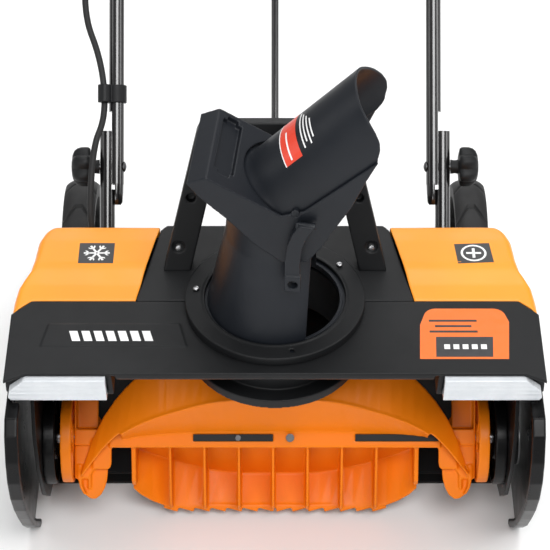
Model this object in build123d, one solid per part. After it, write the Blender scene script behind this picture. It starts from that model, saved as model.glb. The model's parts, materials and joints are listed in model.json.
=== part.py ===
from build123d import *
import math
import os

os.makedirs("parts", exist_ok=True)

# A single stage electric snow thrower. Millimetres, X to the right, Y to the operator, Z up.
# It is laid out from the chute's axis, and written with the origin on the ground under its middle.

# ---- driving dimensions ----
HALF_W = 277.0            # half of the overall width, over the side plates
INNER_W = 252.0           # half of the width between the bearing walls
COVER_Z = 300.0           # top face of the covers
COVER_T = 4.0
SEAM_Y = 3.0              # joint between the front cover and the rear shrouds
FRONT_Y = -106.6          # front edge of the front cover
CORNER_Y = -116.7         # front corners of the cover
REAR_Y = 119.0            # rear edge of the shrouds
ROTOR_Y, ROTOR_Z = -18.0, 115.0
VIEW_TILT = 42.2          # inclination of the rotor's flat bar
RING_R, BORE_R = 95.0, 74.0
RING_H = 10.0
BRACKET_Y, BRACKET_LEAN = 50.0, 18.8
NECK_Z = 236.0            # underside of the neck flange
CHUTE_TURN = -6.0         # heading of the discharge from +X
MOTOR_Y, MOTOR_Z = 196.0, 152.0
WHEEL_R, WHEEL_Y, WHEEL_X, WHEEL_W = 95.0, 301.0, 232.0, 38.0
FOLD_Y, FOLD_Z = 226.0, 300.0
HANDLE_SLOPE = 46.0
HANDLE_L = 900.0
TUBE_R = 8.5
UPPER_X, LOWER_X = 179.0, 189.0
MIDDLE_Y = 358.3          # from the chute's axis back to the middle of the machine's length
CRANK_TILT = 39.4
CRANK_Y, CRANK_Z = 101.0, 318.0
CRANK_L = 830.0
BELT_X = 262.0


# ---- helpers ----
def box(x0, x1, y0, y1, z0, z1):
    return Pos((x0 + x1) / 2, (y0 + y1) / 2, (z0 + z1) / 2) * Box(x1 - x0, y1 - y0, z1 - z0)


def prism(axis, pts, lo, hi):
    """A polygon in the plane across an axis, run from lo to hi along it."""
    place = {"x": lambda a, b: (lo, a, b), "y": lambda a, b: (a, lo, b), "z": lambda a, b: (a, b, lo)}[axis]
    way = {"x": (1, 0, 0), "y": (0, 1, 0), "z": (0, 0, 1)}[axis]
    face = make_face(Polyline(*[place(a, b) for a, b in pts], close=True))
    return extrude(face, amount=hi - lo, dir=way)


def rod(p, q, r):
    """A round bar between two points."""
    p, q = Vector(*p), Vector(*q)
    return extrude(Plane(origin=p, z_dir=q - p) * Circle(r), amount=(q - p).length)


def cyl_x(x0, x1, y, z, r):
    return rod((x0, y, z), (x1, y, z), r)


def cyl_z(x, y, z0, z1, r):
    return rod((x, y, z0), (x, y, z1), r)


def strip(pts, t):
    """A closed outline t thick, to the left of an open line of points."""
    out = []
    for i, (a, b) in enumerate(pts):
        (pa, pb), (na, nb) = pts[max(i - 1, 0)], pts[min(i + 1, len(pts) - 1)]
        u, v = na - pa, nb - pb
        n = math.hypot(u, v)
        out.append((a - v / n * t, b + u / n * t))
    return pts + out[::-1]


def mirrored(shape):
    return mirror(shape, about=Plane.YZ)


def both(shape):
    return shape + mirrored(shape)


def tube_path(points, radius, r, bore=0):
    """A round bar or tube bent along straight runs with equal bends."""
    line = FilletPolyline(*points, radius=radius)
    section = Circle(r) - Circle(bore) if bore else Circle(r)
    return sweep(Plane(origin=line @ 0, z_dir=line % 0) * section, path=line)


def pulley_loop(y1, z1, r1, y2, z2, r2):
    """Outline points of the tight loop round two circles."""
    a = math.atan2(z2 - z1, y2 - y1)
    b = math.asin((r1 - r2) / math.hypot(y2 - y1, z2 - z1))
    up, down = a + math.pi / 2 - b, a - math.pi / 2 + b
    pts = [(y1 + r1 * math.cos(up + (down + 2 * math.pi - up) * k / 24),
            z1 + r1 * math.sin(up + (down + 2 * math.pi - up) * k / 24)) for k in range(25)]
    pts += [(y2 + r2 * math.cos(down + (up - down) * k / 24),
             z2 + r2 * math.sin(down + (up - down) * k / 24)) for k in range(25)]
    return pts


# ---- housing ----
def rotor_wall(gap):
    """The line of the wall behind the rotor, from the ground up to the deck."""
    r = 118 + gap
    arc = [(ROTOR_Y + r * math.cos(math.radians(t)), ROTOR_Z + r * math.sin(math.radians(t)))
           for t in range(-66, 11, 4)]
    return arc + [(108 + gap, 236), (110 + gap, 292)]


def housing():
    wall = prism("x", strip(rotor_wall(0)[::-1], 4), -INNER_W, INNER_W)
    deck = box(-INNER_W, INNER_W, -46, 112, 248, 251) - cyl_z(0, 0, 240, 260, 76.4)
    return wall + deck


def bearing_wall():
    """The inner wall that carries the rotor's bearing, one on each side."""
    outline = [(-82, 246), (-96, 200), (-92, 140), (-70, 78), (-34, 36), (34, 6), (70, 18), (104, 70),
               (118, 140), (122, 246)]
    wall = prism("x", outline, INNER_W, INNER_W + 4)
    return wall - cyl_x(INNER_W - 1, INNER_W + 5, ROTOR_Y, ROTOR_Z, 20)


NOSE = [(-112, 264.5), (-136, 264.5), (-150, 252), (-161, 224), (-163, 196), (-156, 164), (-141, 130), (-121, 95),
        (-98, 58), (-74, 28), (-54, 6), (-44, 0)]
SIDE = [(-20, 294), (-77, 294), (-77, 264.5)] + NOSE + [
    (26, 0), (44, 4), (66, 22), (96, 70), (116, 124), (120, 168), (108, 184), (40, 200), (4, 228), (-6, 238)]


def side_plate():
    """The right side plate with its rounded nose and the lip turned in along it."""
    plate = prism("x", SIDE, HALF_W - 6, HALF_W)
    lip = prism("x", strip(NOSE, 7), HALF_W - 14, HALF_W - 5.9) & prism("x", SIDE, HALF_W - 20, HALF_W)
    slot = box(HALF_W - 7, HALF_W + 1, -104, -96, 100, 104)
    return plate + lip - slot


COVER = [(-257, SEAM_Y), (-277, -17), (-277, CORNER_Y), (-255, FRONT_Y), (255, FRONT_Y), (277, CORNER_Y),
         (277, -17), (257, SEAM_Y)]


def front_cover():
    plate = prism("z", COVER, COVER_Z - COVER_T, COVER_Z)
    brow = prism("x", [(FRONT_Y, 296), (FRONT_Y, 293), (FRONT_Y + 6, 286), (FRONT_Y + 9, 286),
                       (FRONT_Y + 9, 296)],
                 -163.4, 163.4)
    panel = prism("z", [(-236, -33), (-100, -33), (-92, -66), (-242, -66)], COVER_Z, COVER_Z + 1)
    return plate + brow + panel - cyl_z(0, 0, 290, 305, 76.4)


CENTRE = [(-147, SEAM_Y + 0.4), (-125, 117), (-118, 125), (118, 125), (125, 117), (147, SEAM_Y + 0.4)]


def centre_cover():
    plate = prism("z", CENTRE, COVER_Z - COVER_T, COVER_Z)
    back = box(-118, 118, 121, 125, 252, COVER_Z)
    return plate + back - cyl_z(0, 0, 290, 305, 76.4)


def shroud():
    """The left rear shroud: a shell with a crease across it and a stepped outer corner."""
    skin = [(SEAM_Y + 0.5, 300), (22, 301), (54, 306), (96, 304.5), (REAR_Y - 5, 301), (REAR_Y + 3, 292),
            (REAR_Y + 6, 276), (REAR_Y + 7, 236)]
    full = prism("x", strip(skin, -3), -278, -118)
    outline = [(-257, SEAM_Y + 0.5), (-277, -16), (-273.4, 25), (-262.2, 45.6), (-256.6, 97.4), (-237.4, 140),
               (-125.6, 140), (-125.6, 117), (-147.6, SEAM_Y + 0.5)]
    wall_line = [(-258, SEAM_Y + 0.5), (-273.4, 25), (-262.2, 45.6), (-256.6, 97.4), (-240, REAR_Y - 2)]
    side = prism("z", strip(wall_line, -3), 295.5, 302)
    under = prism("x", [(0, 230), (0, 300), (22, 301), (54, 306), (96, 304.5), (REAR_Y - 5, 301), (REAR_Y + 3, 292),
                        (REAR_Y + 3, 230)], -278, -118)
    return (full & prism("z", outline, 230, 320)) + (side & under)


def neck():
    """The fixed neck under the cover, with the broad flange seen below the cover's edge."""
    flange = cyl_z(0, 0, NECK_Z, NECK_Z + 11, 93)
    sleeve = cyl_z(0, 0, NECK_Z + 11, 295.7, 76)
    return flange + sleeve - cyl_z(0, 0, NECK_Z - 1, 297, 70.5)


def clamp_ring():
    """The ring that holds the chute's flange down on the covers."""
    ring = cyl_z(0, 0, COVER_Z, COVER_Z + RING_H, RING_R) - cyl_z(0, 0, COVER_Z - 1, COVER_Z + 11, BORE_R)
    ring -= cyl_z(0, 0, COVER_Z - 1, COVER_Z + 7, 90)
    lip = cyl_z(0, 0, COVER_Z + RING_H, COVER_Z + RING_H + 1, BORE_R + 2.5)
    ring += lip - cyl_z(0, 0, COVER_Z, COVER_Z + 12, BORE_R)
    for a in (35, 125, 173, 282):
        x, y = 84 * math.cos(math.radians(a)), 84 * math.sin(math.radians(a))
        ring -= cyl_z(x, y, COVER_Z - 1, COVER_Z + 12, 2.6)
    return ring


def ring_screws():
    out = []
    for a in (35, 125, 173):
        x, y = 84 * math.cos(math.radians(a)), 84 * math.sin(math.radians(a))
        head = cyl_z(x, y, COVER_Z + RING_H, COVER_Z + RING_H + 2.2, 4.2)
        cross = box(x - 2.6, x + 2.6, y - 0.5, y + 0.5, 311.2, 313)
        cross += box(x - 0.5, x + 0.5, y - 2.6, y + 2.6, 311.2, 313)
        out.append(head + cyl_z(x, y, 307.2, 310, 2.4) - cross)
    return out


def leaned(shape):
    """From the bracket's own upright plane to its backward lean on the covers."""
    return Pos(0, BRACKET_Y, COVER_Z) * Rot(-BRACKET_LEAN, 0, 0) * shape


def bracket():
    """The inverted U behind the chute that also serves as a carrying handle."""
    outer = [(-122, -10), (-82, 158), (-77, 168), (77, 168), (82, 158), (122, -10)]
    inner = [(-93, -12), (-59, 134), (-52, 144), (52, 144), (59, 134), (93, -12)]
    u = prism("y", outer, 0, 18) - prism("y", inner, -1, 19)
    hollow = prism("y", [(-118, -10), (-79, 156), (-74, 165), (74, 165), (79, 156), (118, -10)], 4, 19)
    core = prism("y", [(-97, -11), (-62, 137), (-54, 147), (54, 147), (62, 137), (97, -11)], 3, 20)
    u -= hollow - core
    for s in (-1, 1):
        u -= rod((s * 103, -2, 28), (s * 103, 2.4, 28), 6.5)
        u -= rod((s * 103, -2, 28), (s * 103, 20, 28), 2.6)
    for s in (-1, 1):
        u += rod((s * 89, 3, 84), (s * 89, 13, 84), 8)
        u -= rod((s * 89, -2, 84), (s * 89, 9, 84), 5)
    u = leaned(u) & box(-130, 130, 30, 130, COVER_Z, 500)
    return u + both(box(96, 116, 58, 84, COVER_Z, COVER_Z + 4))


def bracket_screws():
    out = []
    for s in (-1, 1):
        x = s * 103
        screw = rod((x, 0.6, 28), (x, 2.4, 28), 5) + rod((x, 2.4, 28), (x, 14, 28), 2.5)
        out.append(leaned(screw - box(x - 3, x + 3, 0, 1.3, 27.4, 28.6)))
    return out


LENS = [(-257, 295.4), (-173.8, 295.4), (-172.4, 269.6), (-271, 269.6), (-274, 274), (-272.6, 282)]


def light_bezel():
    """The dark frame behind the left work light, seen at its inner end."""
    face = [(-277, 284), (-262, 295.7), (-168, 295.7), (-166, 268), (-272, 266.4), (-277, 272)]
    shell = prism("y", face, -104, -78)
    window = [(-271, 282), (-257, 292), (-174, 292), (-172, 272), (-266, 272), (-271, 275)]
    return shell - prism("y", window, -105, -84)


def light_lens():
    """The left lens, stepped into five ribs that lean forward at the foot."""
    back = [(-256, 291), (-176, 291), (-175, 274), (-264, 274), (-264, 285)]
    out = prism("y", LENS, -107, -104.2) + prism("y", back, -104.3, -92)
    for k in range(5):
        z = 270.2 + 5.1 * k
        step = prism("y", LENS, -112.4 - 0.7 * (4 - k), -106.9)
        out += step & box(-280, -160, -120, -100, z, z + 4.3)
    return out


# ---- rotor ----
def paddle_point(p, t):
    """From heights across and towards the front of the bar, to y and z."""
    c, s = math.cos(math.radians(VIEW_TILT)), math.sin(math.radians(VIEW_TILT))
    return ROTOR_Y + s * p - c * t, ROTOR_Z + c * p + s * t


CREASE = [(0, 47, 70), (60, 45, 68), (120, 30, 56), (150, 18, 44), (170, 6, 34), (185, -8, 26), (200, -26, 20),
          (213, -42, 14)]
LIP = [(0, 84, 58), (60, 84, 58), (120, 82, 56), (150, 68, 43), (170, 48, 31), (185, 28, 23), (200, 0, 15),
       (213, -36, 9)]


def paddle_block(outline, x0, x1):
    """A bar along x whose section is given in the paddle's own (p, t) axes."""
    return prism("x", [paddle_point(p, t) for p, t in outline], x0, x1)


def smooth(table, x):
    """A row of a table of (x, p, t) at x, on a curve through the rows."""
    x = abs(x)
    i = max(k for k in range(len(table) - 1) if table[k][0] <= x)
    row = [table[max(i - 1, 0)], table[i], table[i + 1], table[min(i + 2, len(table) - 1)]]
    w = row[2][0] - row[1][0]
    f = (x - row[1][0]) / w
    out = []
    for j in (1, 2):
        m0 = 0 if i == 0 else (row[2][j] - row[0][j]) / (row[2][0] - row[0][0]) * w
        m1 = (row[3][j] - row[1][j]) / (row[3][0] - row[1][0]) * w
        h = [2 * f**3 - 3 * f**2 + 1, f**3 - 2 * f**2 + f, 3 * f**2 - 2 * f**3, f**3 - f**2]
        out.append(h[0] * row[1][j] + h[1] * m0 + h[2] * row[2][j] + h[3] * m1)
    return out


def band(edge_a, edge_b, t, reach):
    """A curved plate between two edges, faceted finely between stations along X."""
    n = int(reach / 12) * 2
    rows = []
    for k in range(n + 1):
        x = -reach + 2 * reach * k / n
        a, b = smooth(edge_a, x), smooth(edge_b, x)
        w = math.hypot(b[0] - a[0], b[1] - a[1])
        u, v = (b[1] - a[1]) / w * t, -(b[0] - a[0]) / w * t
        quad = [a, b, (b[0] + u, b[1] + v), (a[0] + u, a[1] + v)]
        rows.append([(x, *paddle_point(*q)) for q in quad])
    faces = [make_face(Polyline(*r[:3], close=True)) for r in (rows[0], rows[-1])]
    faces += [make_face(Polyline(r[0], r[2], r[3], close=True)) for r in (rows[0], rows[-1])]
    for r, q in zip(rows, rows[1:]):
        for j in range(4):
            i = (j + 1) % 4
            for corners in ((r[j], r[i], q[i]), (r[j], q[i], q[j])):
                faces.append(make_face(Polyline(*corners, close=True)))
    return Solid(Shell([f.face() for f in faces]))


def half_turn(shape):
    return Pos(0, ROTOR_Y, ROTOR_Z) * Rot(180, 0, 0) * Pos(0, -ROTOR_Y, -ROTOR_Z) * shape


def blade():
    """One paddle: a web from the hub to the crease, then the arched band out to the toothed lip."""
    hub = [(0, 4, 4), (100, 4, 4), (170, 0, 4)]
    out = Part() + band(CREASE, LIP, 3.5, 213) + band(hub, CREASE, -3.5, 168)
    for k in range(-3, 4):
        out += rib(k * 38.0 - 2.0, 3, 83)
    for s in (-1, 1):
        out += rib(s * 156.0, 5, 60)
    for k in range(-7, 7):
        x = k * 18.0 + 9
        s = 1 if x > 0 else -1
        tooth = [(x - s * 8.5, 80), (x + s * 8.5, 80), (x + s * 8.5, 84.2), (x - s * 7.5, 88.5)]
        out += tooth_plate(tooth)
    return out


def rib(x, t, reach):
    """A thin plate that ties the web and the band together across the paddle's hollow side."""
    crease, lip = (smooth(CREASE, x), smooth(LIP, x)) if reach > 70 else ([10, 38], [54, 35])
    pts = [(3, -8), (lip[0] - 5, lip[1] - 30), (lip[0], lip[1] - 22), lip, crease, (4, 6)]
    return prism("x", [paddle_point(*q) for q in pts], x - t / 2, x + t / 2)


def face_plate(outline, t0, t1):
    """A plate seen from the front of the bar, from its outline in x and height, between two depths."""
    c, n = math.cos(math.radians(VIEW_TILT)), math.sin(math.radians(VIEW_TILT))
    face = make_face(Polyline(*[(x, *paddle_point(p, t0)) for x, p in outline], close=True))
    return extrude(face, amount=t1 - t0, dir=(0, -c, n))


LOBE = [(217, -30), (217, -45), (215, -55), (210.5, -63), (204, -68), (198, -68.5), (192, -64), (187.5, -56),
        (185, -46), (184, -30)]


def end_web(s):
    """The plates that carry the bar out to an end disc, with a rounded lobe hanging from them."""
    outer = [(195, 2), (221, 2), (221, -44), (219, -46), (206, -46), (195, -30)]
    inner = [(180, -2), (201, -2), (201, -35), (183.5, -35), (181, -33), (180, -28)]
    web = face_plate(outer, 0, 6) + face_plate(inner, 4, 9) + face_plate(LOBE, -3, 1)
    web += face_plate([(217, -30), (217, -45), (215, -55), (210.5, -63), (207.5, -63), (212, -54), (213, -44),
                       (213, -30)], 0, 8)
    web += face_plate([(206, -30), (206, -57), (202.5, -57), (202.5, -30)], 0, 5)
    web += face_plate([(195, 40), (221, 44), (221, 0), (195, 0)], -9, -5)
    web += face_plate([(218.6, 46), (221, 46), (221, -2), (218.6, -2)], -9, 9)
    return web if s > 0 else mirrored(web)


def tooth_plate(tooth):
    (x0, p0), (x1, _), (_, p2), (x3, p3) = tooth
    corners = [(x0, p0), (x1, p0), (x1, p2), (x3, p3)]
    low = Polyline(*[(x, *paddle_point(p, 58)) for x, p in corners], close=True)
    c, s = math.cos(math.radians(VIEW_TILT)), math.sin(math.radians(VIEW_TILT))
    return extrude(make_face(low), amount=3.2, dir=(0, c, -s))


def rotor_body():
    one = blade()
    bar = paddle_block([(-11, -8), (11, -8), (11, 14), (-11, 14)], -182, 182)
    arms = both(paddle_block([(-9, -8), (9, -8), (9, 10), (-9, 10)], 181, 221))
    clear = paddle_block([(-13, -120), (-13, 120), (-120, 120), (-120, -120)], 158.5, 240)
    lower = half_turn(one) - both(clear)
    body = one + lower + bar + arms + end_web(-1) + end_web(1)
    for x0, x1 in STRIPS:
        body -= paddle_block([(-4, 12), (4, 12), (4, 15), (-4, 15)], x0, x1)
    return body - cyl_x(-300, 300, ROTOR_Y, ROTOR_Z, 7)


STRIPS = [(-90, -2), (88, 180)]


def rotor_strips():
    section = [(-3.8, 12), (3.8, 12), (3.8, 14.8), (-3.8, 14.8)]
    return Compound(children=[paddle_block(section, x0 + 0.2, x1 - 0.2) for x0, x1 in STRIPS])


def rotor_ends():
    """The end discs, each hollowed on its inner side and rimmed."""
    disc = cyl_x(221.1, 233, ROTOR_Y, ROTOR_Z, 50) - cyl_x(220, 229, ROTOR_Y, ROTOR_Z, 45)
    disc += cyl_x(221.1, 233, ROTOR_Y, ROTOR_Z, 16)
    for k in range(6):
        a = math.radians(60 * k + VIEW_TILT)
        y, z = ROTOR_Y + 30 * math.cos(a), ROTOR_Z + 30 * math.sin(a)
        disc += Pos(226, y, z) * Rot(math.degrees(a), 0, 0) * Box(8, 32, 3)
    disc -= cyl_x(200, 240, ROTOR_Y, ROTOR_Z, 7)
    return disc


def rotor_screws():
    out = []
    for x in (-40.5, 16.5):
        p, q = (x, *paddle_point(0, 14 if x > 0 else 14.8)), (x, *paddle_point(0, 17))
        out.append(rod(p, q, 4.5 if x > 0 else 3.2))
    return Compound(children=out)


# ---- chute, in its own frame and then turned to its heading ----
def turned(shape):
    return Rot(0, 0, CHUTE_TURN) * shape


SPOUT_Y = 52.0
SPOUT_TILT = 43.8
WALL_Y = 56.0
PIVOT_X, PIVOT_Z = 26.0, 474.0


def chute_tube():
    """A half pipe that narrows into the hood, on a toothed flange, cut away towards the discharge."""
    def pipe(dr):
        low, mid, high = [Plane((x, 0, z)) * Circle(r - dr)
                          for x, z, r in ((0, 303, 72), (2, 406, 52.6), (4, 442, 52.2))]
        return loft([low, mid], ruled=True) + loft([mid, high], ruled=True) + cyl_z(0, 0, 300.4, 303.5, 72 - dr)
    shell = pipe(0) - pipe(3)
    open_side = prism("y", [(38, 308), (120, 308), (120, 450), (42, 450)], -90, 90)
    flange = cyl_z(0, 0, 300.4, 306.4, 88) - cyl_z(0, 0, 299, 308, 69)
    teeth = Sketch() + [Rot(0, 0, 6 * k) * Pos(87, 0) * Rectangle(5, 3.4) for k in range(60)]
    flange -= Pos(0, 0, 303) * extrude(teeth, amount=5)
    return (shell - open_side) + flange


HOOD = [(-82, 503), (-62, 512), (12, 469.5), (34.6, 477.2), (106.4, 545.7), (95.5, 522), (80.8, 485), (66.5, 459),
        (53.5, 433), (39, 411.6), (13, 408), (-14, 429), (-42.5, 460.5), (-69.4, 486)]


def hood():
    """The elbow on top of the chute: a sloping lid, a bevelled back and two side walls."""
    outer = prism("y", HOOD, -WALL_Y, WALL_Y)
    inner = prism("y", [(-77, 502), (-62, 508.4), (10, 467), (30, 520), (150, 640), (150, 380), (-30, 380),
                        (-74, 484)], -WALL_Y + 3.2, WALL_Y - 3.2)
    grip = prism("y", [(-54, 509.5), (-36, 499), (-36, 503), (-52, 513)], -40, 36)
    cup = prism("y", [(-57, 500), (-31, 486), (-31, 496), (-38, 505), (-55, 513)], -43, 39)
    lid_hole = spout_solid(4.2) & prism("y", [(-90, 440), (-90, 560), (60, 560), (60, 440)],
                                        -SPOUT_Y - 0.9, SPOUT_Y + 0.9)
    shell = outer - inner + (cup & outer) - grip
    for s in (-1, 1):
        shell -= rod((PIVOT_X, s * 50, PIVOT_Z), (PIVOT_X, s * 57, PIVOT_Z), 4.05)
    return shell - lid_hole


def spout_solid(extra):
    """The full body the spout is cut from: an inclined bar that grows taller towards its mouth."""
    c, n = math.cos(math.radians(SPOUT_TILT)), math.sin(math.radians(SPOUT_TILT))
    ends = []
    for along_axis in (-60, 150):
        origin = (34.6 + along_axis * c, 0, 477.2 + along_axis * n)
        plane = Plane(origin=origin, x_dir=(-n, 0, c), z_dir=(c, 0, n))
        ends.append(plane * Ellipse(55 + 0.065 * along_axis + extra, SPOUT_Y + extra))
    return loft(ends, ruled=True)


MOUTH = [(86, 505), (91, 515), (96, 525), (100.5, 535), (104.8, 545), (106.8, 555), (106, 565), (101, 575),
         (93.5, 585), (84.5, 595), (78.3, 605), (74, 614), (60, 700)]


def spout():
    """A half pipe that throws the snow, its mouth cut back along the ridge and rounded at both sides."""
    shell = spout_solid(0) - spout_solid(-2.6)
    below = prism("y", [(-60, 386.4), (160, 597.5), (260, 600), (260, 300), (-60, 300)], -70, 70)
    lid_side = prism("y", [(-140, 549), (-140, 300), (60, 300), (30, 451)], -70, 70)
    beyond = prism("y", MOUTH + [(320, 700), (320, 505)], -90, 90)
    body = shell - below - lid_side - beyond
    for s in (-1, 1):
        body += rod((PIVOT_X, s * 47.5, PIVOT_Z), (PIVOT_X, s * 51.6, PIVOT_Z), 11)
        body -= rod((PIVOT_X, s * 40, PIVOT_Z), (PIVOT_X, s * 60, PIVOT_Z), 4.12)
    return body


def spout_pins():
    pins = [rod((PIVOT_X, s * 48.2, PIVOT_Z), (PIVOT_X, s * 55.6, PIVOT_Z), 3.9) for s in (-1, 1)]
    return Compound(children=[turned(p) for p in pins])


def latch():
    """The horn on the chute's side: an arm from its pocket down to an eye."""
    line = [(31, 468), (24, 456), (19, 440), (17, 420), (17, 404), (17, 384)]
    wide = [(p[0] + 15, p[1] - 2) for p in line]
    arm = prism("y", line + wide[::-1], -68, -59.4)
    end = box(16.5, 33, -70, -64.5, 382, 402)
    pin = rod((27, -62.6, 465), (47, -62.6, 465), 3.4)
    return arm + end + pin - rod((25, -80, 391), (25, -50, 391), 5)


# ---- crank, along its own inclined axis ----
def along_crank(s, h=0.0):
    c, n = math.cos(math.radians(CRANK_TILT)), math.sin(math.radians(CRANK_TILT))
    return (0.0, CRANK_Y + s * c - h * n, CRANK_Z + s * n + h * c)


def crank_plane(s):
    """The plane square to the crank at a distance s along it."""
    way = Vector(*along_crank(1)) - Vector(*along_crank(0))
    return Plane(origin=along_crank(s), x_dir=(1, 0, 0), z_dir=way)


def crank_rod():
    return rod(along_crank(-2), along_crank(CRANK_L), 4)


def crank_pinion():
    body = rod(along_crank(-1.5), along_crank(13), 8)
    plane = crank_plane(-1.5)
    for k in range(10):
        body -= plane * Rot(0, 0, 36 * k) * Pos(8, 0, 5) * Box(3.2, 2.0, 10.4)
    return body - rod(along_crank(-3), along_crank(14), 4.02)


def gearbox():
    """The small housing over the pinion behind the clamp ring."""
    shell = prism("x", [(97, 301), (97, 322), (106, 336), (122, 336), (124, 301)], -16, 16)
    shell -= prism("x", [(95, 301), (95, 316), (107, 332), (116, 332), (116, 304), (114, 301)], -12.5, 12.5)
    return shell - rod(along_crank(-4), along_crank(60), 8.8)


def crank_arm():
    hub = rod(along_crank(CRANK_L - 22), along_crank(CRANK_L), 8)
    hub -= rod(along_crank(CRANK_L - 24), along_crank(CRANK_L + 2), 4.02)
    base = crank_plane(CRANK_L - 14)
    arm = base * Pos(40, 0, 0) * Box(66, 11, 8)
    end = base * Pos(74, 0, -4) * extrude(Circle(8), amount=8)
    pin = base * Pos(74, 0, 4) * extrude(Circle(3.5), amount=66)
    return hub + (arm - rod(along_crank(CRANK_L - 24), along_crank(CRANK_L + 2), 7)) + end + pin


def crank_grip():
    base = crank_plane(CRANK_L - 14)
    grip = Cone(12, 9.5, 60, align=(Align.CENTER, Align.CENTER, Align.MIN))
    grip = grip - extrude(Circle(3.56), amount=62)
    return base * Pos(74, 0, 5) * grip


# ---- handle, along its own inclined axis ----
def along(s, h=0.0, x=0.0):
    """A point s along the handle from the fold, h above its plane."""
    c, n = math.cos(math.radians(HANDLE_SLOPE)), math.sin(math.radians(HANDLE_SLOPE))
    return (x, FOLD_Y + s * c - h * n, FOLD_Z + s * n + h * c)


def handle_block(s0, s1, h0, h1, x0, x1):
    """A block laid out along the handle's slope."""
    return prism("x", [along(s0, h0)[1:], along(s1, h0)[1:], along(s1, h1)[1:], along(s0, h1)[1:]], x0, x1)


def upper_tube():
    r = 60
    pts = [along(-20, 0, -UPPER_X), along(HANDLE_L, 0, -UPPER_X), along(HANDLE_L, 0, UPPER_X),
           along(-20, 0, UPPER_X)]
    loop = tube_path(pts, r, TUBE_R, TUBE_R - 1.4)
    for s in (-1, 1):
        loop += rod(along(-19, 0, s * UPPER_X), along(64, 0, s * UPPER_X), TUBE_R - 1)
    for s in (-1, 1):
        loop -= rod((s * 160, FOLD_Y, FOLD_Z), (s * 200, FOLD_Y, FOLD_Z), 4.2)
        loop -= handle_block(-60, 62, -12, 12, *sorted((s * 183.8, s * 200)))
    cross = rod(along(700, 0, -UPPER_X), along(700, 0, UPPER_X), 7)
    return loop + (cross - rod(along(700, 0, -172), along(700, 0, 172), 5.6))


def handle_grip():
    sleeve = rod(along(HANDLE_L, 0, -112), along(HANDLE_L, 0, 20), 14)
    return sleeve - rod(along(HANDLE_L, 0, -113), along(HANDLE_L, 0, 21), TUBE_R + 0.02)


def lower_tube():
    """The outer tube from the chassis socket up to the clamp knob, flattened beside the upper one."""
    x = LOWER_X
    tube = rod(along(-136, 0, x), along(40, 0, x), TUBE_R)
    tube -= rod(along(-137, 0, x), along(41, 0, x), TUBE_R - 1.8)
    core = rod(along(-40, 0, x), along(39.9, 0, x), TUBE_R - 1)
    tube += core - handle_block(-60, 60, -12, 12, 194, 220)
    tube -= handle_block(-26, 50, -12, 12, 170, 184.2)
    return tube - rod((x - 20, FOLD_Y, FOLD_Z), (x + 20, FOLD_Y, FOLD_Z), 4.2)


def fold_bolt(side):
    a, b = side * (UPPER_X - TUBE_R), side * 222.0
    head = rod((a - side * 5, FOLD_Y, FOLD_Z), (a - side * 0.1, FOLD_Y, FOLD_Z), 8)
    return head + rod((a - side * 0.1, FOLD_Y, FOLD_Z), (b, FOLD_Y, FOLD_Z), 3.9)


def knob(side):
    """A lobed hand knob on the fold bolt, with a waisted stem."""
    x = side * (LOWER_X + TUBE_R + 0.6)
    stem = rod((x, FOLD_Y, FOLD_Z), (x + side * 9, FOLD_Y, FOLD_Z), 8)
    body = rod((x + side * 8.5, FOLD_Y, FOLD_Z), (x + side * 31, FOLD_Y, FOLD_Z), 22.5)
    for k in range(6):
        a = math.radians(60 * k)
        y, z = FOLD_Y + 28 * math.cos(a), FOLD_Z + 28 * math.sin(a)
        body -= rod((x + side * 5, y, z), (x + side * 34, y, z), 7.5)
    return stem + body - rod((x - side, FOLD_Y, FOLD_Z), (side * 222.5, FOLD_Y, FOLD_Z), 3.96)


def switch_box():
    """The switch housing on the top bar, with the recess for the inlet."""
    body = handle_block(HANDLE_L - 42, HANDLE_L + 16, -24, 22, 26, 104)
    body += handle_block(HANDLE_L - 30, HANDLE_L + 8, 22, 27, 32, 98)
    body -= handle_block(HANDLE_L - 16, HANDLE_L + 0, 16, 28, 78, 92)
    body -= rod(along(HANDLE_L, 0, 20), along(HANDLE_L, 0, 110), TUBE_R + 0.02)
    body -= handle_block(HANDLE_L - 43, HANDLE_L - 28, -18, 4, 52, 82)
    return body - handle_block(HANDLE_L - 24, HANDLE_L - 13, -12, 12, 20, 44)


def lock_button():
    p, q = along(HANDLE_L - 8, 18.2, 85), along(HANDLE_L - 8, 31, 85)
    return rod(p, q, 6.2)


def inlet():
    """The recessed three pin mains inlet and its cord hook."""
    body = handle_block(HANDLE_L - 42.5, HANDLE_L - 30, -17.6, 3.6, 52.4, 81.6)
    body -= handle_block(HANDLE_L - 43, HANDLE_L - 33, -15, 1, 55, 79)
    for x in (60, 67, 74):
        body += rod(along(HANDLE_L - 41, -7, x), along(HANDLE_L - 32, -7, x), 1.5)
    return body


def bail():
    """The spring returned drive lever in front of the top bar."""
    hub = both(rod(along(HANDLE_L - 74, 0, UPPER_X - 11), along(HANDLE_L - 74, 0, UPPER_X - 8.6), 4))
    pts = [along(HANDLE_L - 74, 2, -UPPER_X + 20), along(HANDLE_L - 40, 40, -UPPER_X + 20),
           along(HANDLE_L + 4, 48, -UPPER_X + 44), along(HANDLE_L + 4, 48, UPPER_X - 44),
           along(HANDLE_L - 40, 40, UPPER_X - 20), along(HANDLE_L - 74, 2, UPPER_X - 20)]
    wire = tube_path(pts, 14, 4)
    eyes = both(rod(along(HANDLE_L - 74, 0, UPPER_X - 24.5), along(HANDLE_L - 74, 0, UPPER_X - 15.5), 7))
    pin = rod(along(HANDLE_L - 74, 0, UPPER_X - 26), along(HANDLE_L - 74, 0, UPPER_X - 14), 3.05)
    return wire + eyes - both(pin)


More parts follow.
